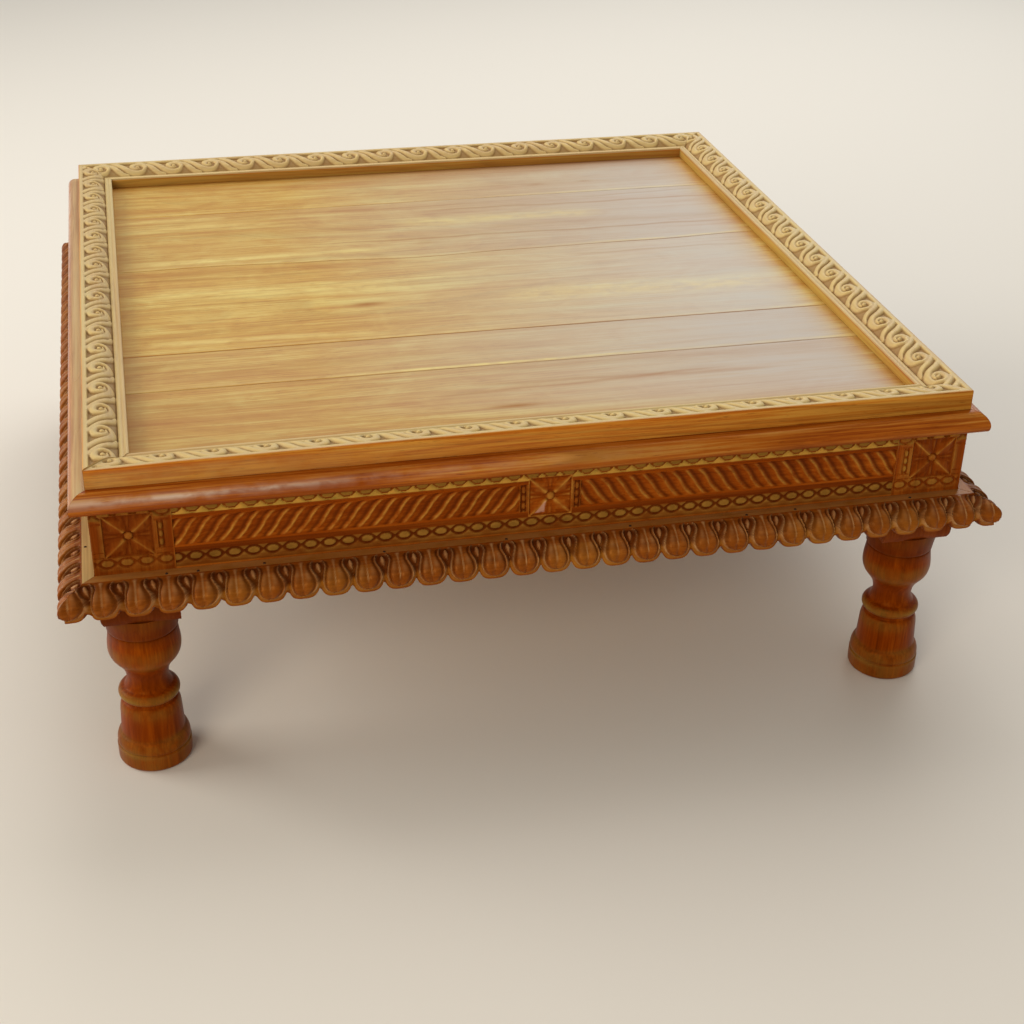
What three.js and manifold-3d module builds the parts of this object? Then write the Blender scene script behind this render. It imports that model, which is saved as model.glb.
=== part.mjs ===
// A bajot: a square low table with a carved tray top, a rounded cornice, a carved frieze,
// a skirt of lotus petals and four turned legs.
// Millimetres, +Z up, origin on the floor under the middle of the table, front towards -Y.
import * as THREE from 'three';
import { mergeVertices } from 'three/addons/utils/BufferGeometryUtils.js';
import Module from 'manifold-3d';

const wasm = await Module();
wasm.setup();

// Driving dimensions of the whole table
const rimSpan = 900;            // outside of the carved rim, the same both ways
const fitGap = 0.3;             // clearance between pieces that fit into each other
const mitreGap = 0.3;           // width of the open line where two bars meet at a corner
const cutOverrun = 5;           // how far a cutting block runs past what it cuts

// Carved rim round the tray
const rimWidth = 43;
const rimHeight = 22;           // at its outer edge
const rimFillet = 4.5;          // flat strip along the outer edge
const rimSink = 1.2;            // how deep the carved field lies below that strip
const rimField = 29;            // width of the carved field, which rolls over down to the inner strip
const rimRollShare = 0.75;       // how far across the field its surface heads before it falls
const rimStripHeight = 12.5;    // flat inner strip
const rimWallHeight = 10;       // inner edge, above the planks
const rimBead = 4.5;            // width of the rounded bead along the tray
const rimBeadRise = 1.5;        // above the inner strip

// Top planks, and the cornice frame that holds their edges
const topThickness = 20;
const plankTuck = 6;            // how far the planks run in under the rim
const lapWidth = 8;             // the cornice's lip, on which the planks lie
const lapThickness = 9;
const plankWidthShares = [0.197, 0.111, 0.304, 0.228, 0.16];   // from the front to the back
const tongueLength = 6;
const tongueThickness = 6;
const corniceReach = 17;        // nose, outwards from the rim's outer face
const corniceShelf = 4;         // flat top outside the rim
const corniceNoseHeight = 6;    // nose line above the cornice's underside
const corniceUndercut = 3;      // how far the underside stops short of the nose

// Square leg heads and the frieze boards between them
const headSize = 78;
const headHeight = 135;
const friezeReach = 1;          // how far the frieze and the heads stand out from the rim's face
const friezeThickness = 22;
const friezeHeight = 98;
const bandDepth = 1.6;          // how deep the reeded band lies below the strips beside it
const topBandWidth = 22;        // plain and zigzag strips over the reeds
const reedBandWidth = 30;
const tenonLength = 30;
const tenonThickness = 9;
const tenonShoulder = 12;
const pegRadius = 3;
const pegSides = 12;
const pegFromShoulder = 15;     // the peg's axis, along the tenon
const pegStagger = 14;          // the two pegs in one leg lie this far above and below the middle
const pegBeyond = 3;            // how far a peg runs on past the tenon

// Turned part of a leg, from the floor up to the head
const turnedHeight = 185;
const footRadius = 38.2;
const footBandHeight = 19;
const footEase = 4;
const grooveDepth = 1.5;
const grooveWidth = 2;
const cushionRadius = 37.8;
const cushionHeight = 15;
const bodyLowRadius = 32.9;
const bodyHighRadius = 31.7;
const bodyHeight = 37;
const throatRadius = 27;
const throatHeight = 4;
const collarRadius = 31;
const collarTopRadius = 25;
const collarHeight = 13;
const neckRadius = 21.4;
const neckHeight = 11;          // from the collar up to the narrowest place
const bellyRadius = 37.2;
const bellyTopRadius = 35.6;
const bellyHeight = 38;         // from the narrowest place up to the widest
const shoulderRadius = 36.2;    // of the round shoulder under the head, where it starts
const shoulderTopRadius = 38.6;
const shoulderHeight = 24;
const turningSides = 20;
const curveSteps = 3;

// Petal skirt
const ledgeWidth = 12;          // flat top outside the frieze
const skirtReach = 35;          // tips of the petals, outwards from the frieze
const skirtHeight = 31;         // ledge down to the lowest point of a petal
const skirtBack = 24;           // height of the skirt's back, on the frieze
const tipDrop = 18;             // ledge down to the tips
const lipInset = 4;             // how far a petal's lowest point lies behind its tip
const petalCount = 30;          // from the middle of one corner petal to the middle of the next
const cornerPetalShare = 0.75;  // where the middle of a corner petal lies, along the skirt's reach
const petalHollow = 5;          // how far the lines between petals lie behind their ridges
const petalRidge = 0.8;         // extra height of the crest along a petal's middle
const scallopRise = 7;          // how far the skirt's edge rises between two petals
const columnsPerPetal = 4;
const rowsPerCurve = 2;

// Battens across the underside of the planks
const battenWidth = 44;
const battenThickness = 24;
const battenHousing = 8;        // depth of the notch that holds an end
const battenOffset = 205;       // from the table's middle to a batten's middle
const battenChamfer = 4;

// Levels and half spans that follow from these
const rimHalf = rimSpan / 2;
const trayHalf = rimHalf - rimWidth;
const plankHalf = trayHalf + plankTuck;
const lipHalf = plankHalf - lapWidth;
const faceHalf = rimHalf + friezeReach;
const headMiddle = faceHalf - headSize / 2;
const headInner = faceHalf - headSize;
const friezeInner = faceHalf - friezeThickness;
const headTop = turnedHeight + headHeight;
const rimBottom = headTop + topThickness;
const friezeBottom = headTop - friezeHeight;
const ledgeTop = friezeBottom + skirtBack;

const sides = ['front', 'right', 'back', 'left'];
const quarter = Math.PI / 2;

const wood = {
  plank: new THREE.MeshStandardMaterial({ color: '#c2924f', roughness: 0.3 }),
  rim: new THREE.MeshStandardMaterial({ color: '#b9853f', roughness: 0.4 }),
  cornice: new THREE.MeshStandardMaterial({ color: '#a9652c', roughness: 0.35 }),
  frieze: new THREE.MeshStandardMaterial({ color: '#8c4a1c', roughness: 0.45 }),
  skirt: new THREE.MeshStandardMaterial({ color: '#8a4a1e', roughness: 0.45 }),
  leg: new THREE.MeshStandardMaterial({ color: '#8a4a16', roughness: 0.35 }),
  hidden: new THREE.MeshStandardMaterial({ color: '#9a7445', roughness: 0.7 }),
};

// A closed three.js geometry as a solid that can be joined and cut.
function solid(geometry) {
  const bare = geometry.clone();
  bare.deleteAttribute('normal');
  bare.deleteAttribute('uv');
  const merged = mergeVertices(bare, fitGap / 100);
  return new wasm.Manifold(new wasm.Mesh({
    numProp: 3,
    vertProperties: merged.attributes.position.array,
    triVerts: new Uint32Array(merged.index.array),
  }));
}

// The solid's triangles as a three.js geometry with flat faces.
function geometryOf(body) {
  const { numProp, vertProperties, triVerts } = body.getMesh();
  const points = new Float32Array((vertProperties.length / numProp) * 3);
  for (let i = 0; i < points.length / 3; i += 1) {
    for (let axis = 0; axis < 3; axis += 1) {
      points[3 * i + axis] = vertProperties[numProp * i + axis];
    }
  }
  const indexed = new THREE.BufferGeometry();
  indexed.setAttribute('position', new THREE.BufferAttribute(points, 3));
  indexed.setIndex(new THREE.BufferAttribute(new Uint32Array(triVerts), 1));
  const geometry = indexed.toNonIndexed();
  geometry.computeVertexNormals();
  return geometry;
}

// A block between two corners.
function block(low, high) {
  const size = high.map((value, axis) => value - low[axis]);
  const middle = high.map((value, axis) => (value + low[axis]) / 2);
  return new THREE.BoxGeometry(...size).translate(...middle);
}

function piece(name, geometry, material) {
  const mesh = new THREE.Mesh(geometry, material);
  mesh.name = name;
  return mesh;
}

// A straight bar of one section along the front. The section is drawn as outward distance
// from outerHalf and height above zero, and both ends are cut to the mitre of a square frame.
function mitredBar(section, outerHalf) {
  const bar = new THREE.ExtrudeGeometry(section, { depth: 2, steps: 1, bevelEnabled: false });
  const place = bar.getAttribute('position');
  for (let i = 0; i < place.count; i += 1) {
    const outward = place.getX(i);
    const height = place.getY(i);
    const end = 1 - place.getZ(i);
    const reach = outerHalf + outward - mitreGap / Math.SQRT2;
    place.setXYZ(i, end * reach, -(outerHalf + outward), height);
  }
  bar.deleteAttribute('uv');
  bar.computeVertexNormals();
  return bar;
}

// Four copies of a front piece, one for each side of the table.
function aroundTable(prefix, geometry, material, height) {
  return sides.map((side, turn) => {
    const mesh = piece(`${prefix}_${side}`, geometry, material);
    mesh.rotation.z = turn * quarter;
    mesh.position.z = height;
    return mesh;
  });
}

// Rim: outer strip, carved field that rolls over inwards, low inner strip and a rounded bead
// along the tray.
function rimSection() {
  const section = new THREE.Shape();
  const fieldOuter = -rimFillet;
  const fieldInner = fieldOuter - rimField;
  const fieldTop = rimHeight - rimSink;
  const beadOuter = rimBead - rimWidth;
  section.moveTo(-rimWidth, 0);
  section.lineTo(0, 0);
  section.lineTo(0, rimHeight);
  section.lineTo(fieldOuter, rimHeight);
  section.lineTo(fieldOuter - rimSink, fieldTop);
  section.lineTo(fieldOuter - rimField / 2, fieldTop);
  section.bezierCurveTo(
    fieldOuter - rimField * rimRollShare, fieldTop,
    fieldInner, (fieldTop + rimStripHeight) / 2,
    fieldInner, rimStripHeight,
  );
  section.lineTo(beadOuter, rimStripHeight);
  section.bezierCurveTo(
    beadOuter, rimStripHeight + rimBeadRise,
    -rimWidth, rimStripHeight + rimBeadRise,
    -rimWidth, rimWallHeight,
  );
  section.closePath();
  return section;
}

// Cornice: a flat shelf, a rounded nose and a lip on the inside that carries the planks.
function corniceSection() {
  const inner = plankHalf - rimHalf;
  const lip = lipHalf - rimHalf;
  const under = corniceReach - corniceUndercut;
  const section = new THREE.Shape();
  section.moveTo(lip, 0);
  section.lineTo(under, 0);
  section.quadraticCurveTo(corniceReach, 0, corniceReach, corniceNoseHeight);
  section.bezierCurveTo(
    corniceReach, (corniceNoseHeight + topThickness) / 2,
    (corniceReach + corniceShelf) / 2, topThickness,
    corniceShelf, topThickness,
  );
  section.lineTo(inner, topThickness);
  section.lineTo(inner, lapThickness);
  section.lineTo(lip, lapThickness);
  section.closePath();
  return section;
}

// Planks: each runs along X. Its front edge has a groove and its back edge a tongue, apart from
// the outermost edges, which are lapped like the ends, to lie on the cornice's lip.
function topPlanks() {
  const inside = 2 * (plankHalf - fitGap);
  const total = plankWidthShares.reduce((sum, share) => sum + share, 0);
  const tongueLow = (topThickness - tongueThickness) / 2;
  const tongueHigh = tongueLow + tongueThickness;
  const lapCut = lapThickness + fitGap;
  let front = -inside / 2;
  return plankWidthShares.map((share, index) => {
    const first = index === 0;
    const last = index === plankWidthShares.length - 1;
    const back = front + (share / total) * inside;
    const backFace = last ? back : back - fitGap;
    const lapBack = backFace - lapWidth;
    const lapFront = front + lapWidth;
    const section = new THREE.Shape();
    section.moveTo(first ? lapFront : front, 0);
    section.lineTo(last ? lapBack : backFace, 0);
    if (last) {
      section.lineTo(lapBack, lapCut);
      section.lineTo(backFace, lapCut);
    } else {
      section.lineTo(backFace, tongueLow + fitGap);
      section.lineTo(backFace + tongueLength, tongueLow + fitGap);
      section.lineTo(backFace + tongueLength, tongueHigh - fitGap);
      section.lineTo(backFace, tongueHigh - fitGap);
    }
    section.lineTo(backFace, topThickness);
    section.lineTo(front, topThickness);
    if (first) {
      section.lineTo(front, lapCut);
      section.lineTo(lapFront, lapCut);
    } else {
      section.lineTo(front, tongueHigh);
      section.lineTo(front + tongueLength, tongueHigh);
      section.lineTo(front + tongueLength, tongueLow);
      section.lineTo(front, tongueLow);
    }
    section.closePath();
    front = back;
    const bar = new THREE.ExtrudeGeometry(section, { depth: inside, steps: 1, bevelEnabled: false });
    bar.rotateX(quarter).rotateZ(quarter).translate(-inside / 2, 0, 0);
    let body = solid(bar);
    for (const end of [-1, 1]) {
      const outside = end * (inside / 2 + cutOverrun);
      const shoulder = end * (inside / 2 - lapWidth);
      body = body.subtract(solid(block(
        [Math.min(outside, shoulder), -rimHalf, -cutOverrun],
        [Math.max(outside, shoulder), rimHalf, lapCut],
      )));
    }
    const mesh = piece(`top_plank_${index + 1}`, geometryOf(body), wood.plank);
    mesh.position.z = headTop;
    return mesh;
  });
}

// Frieze board: a reeded band sunk between two strips, tenons into the leg heads at both ends,
// and notches behind for the battens on the front and back boards.
function friezeBoard(holdsBattens) {
  const bandTop = friezeHeight - topBandWidth;
  const bandBottom = bandTop - reedBandWidth;
  const face = friezeThickness;
  const section = new THREE.Shape();
  section.moveTo(0, 0);
  section.lineTo(face, 0);
  section.lineTo(face, bandBottom);
  section.lineTo(face - bandDepth, bandBottom + bandDepth);
  section.lineTo(face - bandDepth, bandTop - bandDepth);
  section.lineTo(face, bandTop);
  section.lineTo(face, friezeHeight);
  section.lineTo(0, friezeHeight);
  section.closePath();
  const half = headInner - fitGap;
  const board = new THREE.ExtrudeGeometry(section, { depth: 2 * half, steps: 1, bevelEnabled: false });
  const place = board.getAttribute('position');
  for (let i = 0; i < place.count; i += 1) {
    place.setXYZ(i, half - place.getZ(i), -(friezeInner + place.getX(i)), place.getY(i));
  }
  const tenonFront = -(friezeInner + (friezeThickness + tenonThickness) / 2);
  const tenonBack = tenonFront + tenonThickness;
  let body = solid(board);
  for (const end of [-1, 1]) {
    const root = end * (half - cutOverrun);
    const tip = end * (headInner + tenonLength);
    const peg = end * (headInner + pegFromShoulder);
    const pegLevel = friezeHeight / 2 - end * pegStagger;
    const tenon = solid(block(
      [Math.min(root, tip), tenonFront, tenonShoulder],
      [Math.max(root, tip), tenonBack, friezeHeight - tenonShoulder],
    ));
    const hole = new THREE.CylinderGeometry(
      pegRadius + fitGap, pegRadius + fitGap, 2 * friezeThickness, pegSides,
    );
    hole.translate(peg, (tenonFront + tenonBack) / 2, pegLevel);
    body = body.add(tenon).subtract(solid(hole));
    if (holdsBattens) {
      const middle = end * battenOffset;
      body = body.subtract(solid(block(
        [
          middle - battenWidth / 2 - fitGap,
          -(friezeInner + battenHousing),
          friezeHeight - battenThickness - fitGap,
        ],
        [middle + battenWidth / 2 + fitGap, -friezeInner + cutOverrun, friezeHeight + cutOverrun],
      )));
    }
  }
  return geometryOf(body);
}

// Turning profile from the floor's middle, up the outside and back to the axis: foot band,
// groove, cushion, tapering body, throat, collar, narrow neck, belly, groove and a shoulder
// that spreads out to the square head.
function turningProfile() {
  const bandTop = footBandHeight + grooveWidth;
  const cushionTop = bandTop + cushionHeight;
  const bodyTop = cushionTop + bodyHeight;
  const roundStart = bodyTop - 2 * (bodyHighRadius - throatRadius);
  const throatTop = bodyTop + throatHeight;
  const collarTop = throatTop + collarHeight;
  const collarBulge = (4 * collarRadius - collarTopRadius / 2 - throatRadius / 2) / 3;
  const neck = collarTop + neckHeight;
  const belly = neck + bellyHeight;
  const shoulder = turnedHeight - shoulderHeight;
  const top = turnedHeight + cutOverrun;
  const points = [new THREE.Vector2(0, 0)];
  const line = (x, y) => {
    points.push(new THREE.Vector2(x, y));
  };
  const curve = (x1, y1, x2, y2, x, y) => {
    const bend = new THREE.CubicBezierCurve(
      points[points.length - 1],
      new THREE.Vector2(x1, y1),
      new THREE.Vector2(x2, y2),
      new THREE.Vector2(x, y),
    );
    points.push(...bend.getPoints(curveSteps).slice(1));
  };
  line(footRadius - footEase, 0);
  line(footRadius - footEase / 4, footEase / 2);
  line(footRadius, footEase);
  line(footRadius, footBandHeight);
  line(cushionRadius - grooveDepth, footBandHeight + grooveWidth / 2);
  line(cushionRadius, bandTop);
  curve(
    cushionRadius, bandTop + cushionHeight / 2,
    bodyLowRadius, cushionTop - cushionHeight / 2,
    bodyLowRadius, cushionTop,
  );
  line(bodyHighRadius, roundStart);
  curve(
    bodyHighRadius, (roundStart + bodyTop) / 2,
    throatRadius, bodyTop,
    throatRadius, bodyTop,
  );
  line(throatRadius, throatTop);
  curve(collarBulge, throatTop, collarBulge, collarTop, collarTopRadius, collarTop);
  curve(
    (collarTopRadius + neckRadius) / 2, collarTop + neckHeight / 3,
    neckRadius, neck - neckHeight / 3,
    neckRadius, neck,
  );
  curve(
    neckRadius, neck + bellyHeight / 3,
    bellyRadius, belly - bellyHeight / 2,
    bellyRadius, belly,
  );
  curve(
    bellyRadius, (2 * belly + shoulder) / 3,
    bellyTopRadius, (belly + 2 * shoulder) / 3,
    bellyTopRadius - grooveDepth, shoulder,
  );
  line(shoulderRadius, shoulder + grooveWidth);
  curve(
    shoulderRadius, (2 * shoulder + turnedHeight) / 3,
    shoulderTopRadius, (shoulder + turnedHeight) / 2,
    shoulderTopRadius, turnedHeight,
  );
  line(shoulderTopRadius, top);
  line(0, top);
  return points;
}

// A peg, or with some play its hole, in a leg standing on the origin. It goes in from the head's
// inner face, across the tenon that comes from +X or from +Y, and stops short of the outer face.
function legPeg(acrossX, play, mouth) {
  const half = headSize / 2;
  const tenonMiddle = friezeThickness / 2 - half;
  const tip = tenonMiddle - tenonThickness / 2 - pegBeyond - play;
  const at = half - pegFromShoulder;
  const level = (friezeBottom + headTop) / 2 + (acrossX ? pegStagger : -pegStagger);
  const peg = new THREE.CylinderGeometry(pegRadius + play, pegRadius + play, mouth - tip, pegSides);
  if (acrossX) {
    return peg.translate(at, (tip + mouth) / 2, level);
  }
  return peg.rotateZ(quarter).translate((tip + mouth) / 2, at, level);
}

// A leg standing on the origin, with its outer corner towards -X and -Y. The mortises take the
// tenons of the two friezes that meet in its head, and the peg holes cross them from inside.
function legBody() {
  const turned = new THREE.LatheGeometry(turningProfile(), turningSides);
  turned.rotateX(quarter);
  const half = headSize / 2;
  const past = half + cutOverrun;
  const tenonMiddle = friezeThickness / 2 - half;
  const slotNear = tenonMiddle - tenonThickness / 2 - fitGap;
  const slotFar = tenonMiddle + tenonThickness / 2 + fitGap;
  const slotLow = friezeBottom + tenonShoulder - fitGap;
  const slotHigh = headTop - tenonShoulder + fitGap;
  const slotEnd = half - tenonLength - fitGap;
  const cuts = [
    block([slotEnd, slotNear, slotLow], [past, slotFar, slotHigh]),
    block([slotNear, slotEnd, slotLow], [slotFar, past, slotHigh]),
    legPeg(true, fitGap, past),
    legPeg(false, fitGap, past),
  ];
  const head = block([-half, -half, turnedHeight], [half, half, headTop]);
  let body = solid(turned).add(solid(head));
  for (const cut of cuts) {
    body = body.subtract(solid(cut));
  }
  return body;
}

// Skirt moulding: a flat ledge, then petals side by side that swell outwards and down to rounded
// tips. Heights are measured from the ledge, and the back lies flat on the frieze.
function skirtBar() {
  const petalMiddle = faceHalf + cornerPetalShare * skirtReach;
  const pitch = (2 * petalMiddle) / petalCount;
  const columns = (petalCount + 2) * columnsPerPetal;
  const tip = new THREE.Vector2(skirtReach, -tipDrop);
  const upper = new THREE.CubicBezierCurve(
    new THREE.Vector2(ledgeWidth, 0),
    new THREE.Vector2((2 * ledgeWidth + skirtReach) / 3, -tipDrop / 6),
    new THREE.Vector2(skirtReach, -tipDrop / 2),
    tip,
  );
  const lower = new THREE.QuadraticBezierCurve(
    tip,
    new THREE.Vector2(skirtReach, (-tipDrop - skirtHeight) / 2),
    new THREE.Vector2(skirtReach - lipInset, -skirtHeight),
  );
  const face = [...upper.getPoints(rowsPerCurve), ...lower.getPoints(rowsPerCurve).slice(1)];
  const rows = [];
  for (let column = 0; column <= columns; column += 1) {
    const along = (column / columnsPerPetal - petalCount / 2 - 1) * pitch;
    const swell = Math.abs(Math.cos((Math.PI * along) / pitch));
    const crest = column % columnsPerPetal === 0 ? 0 : petalRidge;
    const points = [[0, 0]];
    for (const at of face) {
      const down = at.y / -skirtHeight;
      const back = (petalHollow * (1 - swell) + crest) * Math.min(1, 2 * down);
      points.push([at.x - back, at.y + scallopRise * (1 - swell) * down * down]);
    }
    points.push([0, -skirtBack]);
    rows.push(points.map(([outward, height]) => [along, -(faceHalf + outward), height]));
  }
  return loft(rows);
}

// A closed body through equal rings of points, from the first ring to the last.
function loft(rings) {
  const count = rings[0].length;
  const index = [];
  for (let ring = 0; ring < rings.length - 1; ring += 1) {
    for (let side = 0; side < count; side += 1) {
      const next = (side + 1) % count;
      const a = ring * count + side;
      const b = ring * count + next;
      index.push(a, b, a + count, b, b + count, a + count);
    }
  }
  const lastRing = (rings.length - 1) * count;
  for (let side = 1; side < count - 1; side += 1) {
    index.push(0, side + 1, side);
    index.push(lastRing, lastRing + side, lastRing + side + 1);
  }
  const geometry = new THREE.BufferGeometry();
  geometry.setAttribute('position', new THREE.Float32BufferAttribute(rings.flat(2), 3));
  geometry.setIndex(index);
  return geometry;
}

// The skirt moulding cut to a mitre at both ends.
function skirtSide() {
  const room = new THREE.Shape();
  room.moveTo(-cutOverrun, -skirtHeight - cutOverrun);
  room.lineTo(skirtReach + cutOverrun, -skirtHeight - cutOverrun);
  room.lineTo(skirtReach + cutOverrun, cutOverrun);
  room.lineTo(-cutOverrun, cutOverrun);
  room.closePath();
  return geometryOf(solid(skirtBar()).intersect(solid(mitredBar(room, faceHalf))));
}

// A batten across the underside of the planks, with its lower edges taken off.
function batten() {
  const half = battenWidth / 2;
  const length = 2 * (friezeInner + battenHousing - fitGap);
  const section = new THREE.Shape();
  section.moveTo(-half, 0);
  section.lineTo(-half, battenChamfer - battenThickness);
  section.lineTo(battenChamfer - half, -battenThickness);
  section.lineTo(half - battenChamfer, -battenThickness);
  section.lineTo(half, battenChamfer - battenThickness);
  section.lineTo(half, 0);
  section.closePath();
  const bar = new THREE.ExtrudeGeometry(section, { depth: length, steps: 1, bevelEnabled: false });
  return bar.rotateX(quarter).translate(0, length / 2, 0);
}

// The table, with the front side of each frame drawn once and turned to the other sides
const table = new THREE.Group();
table.name = 'bajot_low_table';

table.add(...topPlanks());
table.add(...aroundTable('rim', mitredBar(rimSection(), rimHalf), wood.rim, rimBottom));
table.add(...aroundTable('cornice', mitredBar(corniceSection(), rimHalf), wood.cornice, headTop));
table.add(...aroundTable('skirt', skirtSide(), wood.skirt, ledgeTop));

sides.forEach((side, turn) => {
  const holdsBattens = turn % 2 === 0;
  const board = piece(`frieze_${side}`, friezeBoard(holdsBattens), wood.frieze);
  board.rotation.z = turn * quarter;
  board.position.z = friezeBottom;
  table.add(board);
});

const legGeometry = geometryOf(legBody());
const corners = ['front_left', 'front_right', 'back_right', 'back_left'];
corners.forEach((corner, turn) => {
  const place = new THREE.Group();
  place.add(piece(`leg_${corner}`, legGeometry, wood.leg));
  place.add(piece(`peg_${corner}_1`, legPeg(true, 0, headSize / 2), wood.hidden));
  place.add(piece(`peg_${corner}_2`, legPeg(false, 0, headSize / 2), wood.hidden));
  place.rotation.z = turn * quarter;
  place.position.set(-headMiddle, -headMiddle, 0).applyAxisAngle(new THREE.Vector3(0, 0, 1), turn * quarter);
  table.add(place);
});

for (const [name, offset] of [['batten_left', -battenOffset], ['batten_right', battenOffset]]) {
  const bar = piece(name, batten(), wood.hidden);
  bar.position.set(offset, 0, headTop);
  table.add(bar);
}

export default table;
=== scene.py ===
# A bajot: a square, low, carved table of oiled teak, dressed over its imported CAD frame.
# Metres, +Z up, origin on the floor under the middle of the table, front towards -Y. Shapes are
# worked out in millimetres for the front, or its left corner, and turned to the other sides.
import math
import bpy
import numpy as np
from mathutils import Matrix


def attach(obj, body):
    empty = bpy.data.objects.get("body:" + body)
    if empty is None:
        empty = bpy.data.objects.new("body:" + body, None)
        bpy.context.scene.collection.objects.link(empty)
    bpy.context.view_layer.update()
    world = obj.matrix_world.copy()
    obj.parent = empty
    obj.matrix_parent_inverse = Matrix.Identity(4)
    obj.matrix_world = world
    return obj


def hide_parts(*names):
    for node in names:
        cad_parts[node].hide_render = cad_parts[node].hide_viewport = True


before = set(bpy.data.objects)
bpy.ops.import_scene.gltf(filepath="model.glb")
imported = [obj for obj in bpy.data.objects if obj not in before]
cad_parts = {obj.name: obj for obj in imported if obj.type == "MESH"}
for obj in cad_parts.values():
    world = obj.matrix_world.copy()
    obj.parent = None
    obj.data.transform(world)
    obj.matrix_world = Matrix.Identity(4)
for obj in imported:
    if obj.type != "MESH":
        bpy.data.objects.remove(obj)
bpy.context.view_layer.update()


# LEGS
# Four legs, each one piece of teak: a square head, carved with a rosette on its two outer faces,
# over a leg turned on a lathe. They stand on the floor and carry the friezes on tenons.

MM = 0.001
SHARP_EDGE = math.radians(42)


def shell(name, grid, grain, carving, material):
    """A closed surface from a grid of points in millimetres, shape (rings, points in a ring, 3).
    Each ring closes on itself, quads join neighbouring rings, and one face each closes the
    first and last ring. If the sum of a . (b x c) + a . (c x d) over the quads, six times the
    volume inside, is negative, the faces are turned round. grain and carving are vectors on
    the same grid, kept as point attributes for the material."""
    rings, points = grid.shape[:2]
    place = grid.reshape(-1, 3) * MM
    at = np.arange(rings * points).reshape(rings, points)
    near, far = at[:-1], at[1:]
    quads = np.stack([near, far, np.roll(far, -1, 1), np.roll(near, -1, 1)], -1).reshape(-1, 4)
    a, b, c, d = (place[quads[:, k]] for k in range(4))
    volume = (a * np.cross(b, c)).sum() + (a * np.cross(c, d)).sum()
    caps = [at[0], at[-1][::-1]]
    if volume < 0:
        quads = quads[:, ::-1]
        caps = [cap[::-1] for cap in caps]
    corners = np.concatenate([quads.ravel(), *caps])
    sizes = np.concatenate([np.full(len(quads), 4), [points, points]])
    mesh = bpy.data.meshes.new(name)
    mesh.vertices.add(len(place))
    mesh.vertices.foreach_set("co", place.ravel())
    mesh.loops.add(len(corners))
    mesh.loops.foreach_set("vertex_index", corners)
    mesh.polygons.add(len(sizes))
    mesh.polygons.foreach_set("loop_start", np.concatenate([[0], np.cumsum(sizes)[:-1]]))
    for label, values in (("grain", grain), ("carving", carving)):
        data = mesh.attributes.new(label, "FLOAT_VECTOR", "POINT").data
        data.foreach_set("vector", np.broadcast_to(values, grid.shape).astype(np.float32).ravel())
    mesh.update()
    mesh.validate()
    mesh.set_sharp_from_angle(angle=SHARP_EDGE)
    mesh.materials.append(material)
    return in_scene(name, mesh)


def joined(name, parts):
    """One object from several shells, with their attributes."""
    with bpy.context.temp_override(active_object=parts[0], selected_editable_objects=parts):
        bpy.ops.object.join()
    parts[0].name = name
    parts[0].data.name = name
    return parts[0]


def in_scene(name, data):
    """A new object at the origin that holds this mesh, light or camera."""
    thing = bpy.data.objects.new(name, data)
    bpy.context.scene.collection.objects.link(thing)
    return thing


def dress(piece, node):
    """Has the piece ride on the table in place of its CAD node."""
    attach(piece, "root")
    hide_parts(node)


def linear(hex_colour):
    """An sRGB hex colour as linear red, green, blue and alpha, by the sRGB curve."""
    shares = np.array([int(hex_colour[k:k + 2], 16) / 255 for k in (1, 3, 5)])
    low, high = shares / 12.92, ((shares + 0.055) / 1.055) ** 2.4
    return (*np.where(shares <= 0.04045, low, high), 1.0)


def add_node(tree, kind, settings):
    """Adds a shader node. Each setting is an option of the node or, by name or number, one of
    its inputs, which takes a value, an output, or a node that stands for its first output."""
    node = tree.nodes.new("ShaderNode" + kind)
    for key, value in settings.items():
        if isinstance(value, bpy.types.Node):
            value = value.outputs[0]
        if isinstance(value, bpy.types.NodeSocket):
            tree.links.new(value, node.inputs[key])
        elif isinstance(key, str) and hasattr(node, key):
            setattr(node, key, value)
        else:
            node.inputs[key].default_value = value
    return node


def bare_material(name):
    """A new material and its empty node tree."""
    material = bpy.data.materials.new(name)
    material.use_nodes = True
    material.node_tree.nodes.clear()
    return material, material.node_tree


# Waves per metre along the grain and across it, with the size of one wave, and then the
# noise's detail, distortion and roughness.
BANDS = (1.3, 17, 3, 0.3, 0.6)  # broad bands of colour, 770 by 59 mm
STREAKS = (3.4, 85, 4, 0.3, 0.6)  # 290 by 12 mm
FIBRES = (9, 420, 2, 0, 0.6)  # 110 by 2.4 mm: real ones are finer, and wouldn't show
CLOUDS = (13, 24, 5, 1.6, 0.6)  # blotches in the polish, 77 by 42 mm
GROWTH = (0.8, 8, 1, 0.6, 0.6)  # slow noise that growth lines follow, 1250 by 125 mm
PORES = (70, 1150, 1, 0, 0.5)  # dashes of 14 by 0.9 mm: real ones are 0.3 mm wide
RUBBING = (40, 70, 3, 0.3, 0.6)  # patches of rubbed polish, 25 by 14 mm
GROWTH_LINES = 26.0  # lines over the whole range of their noise
LATE_WOOD = (0.42, 0.30, 0.20, 1)
OPEN_PORE = (0.62, 0.52, 0.44, 1)


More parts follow.
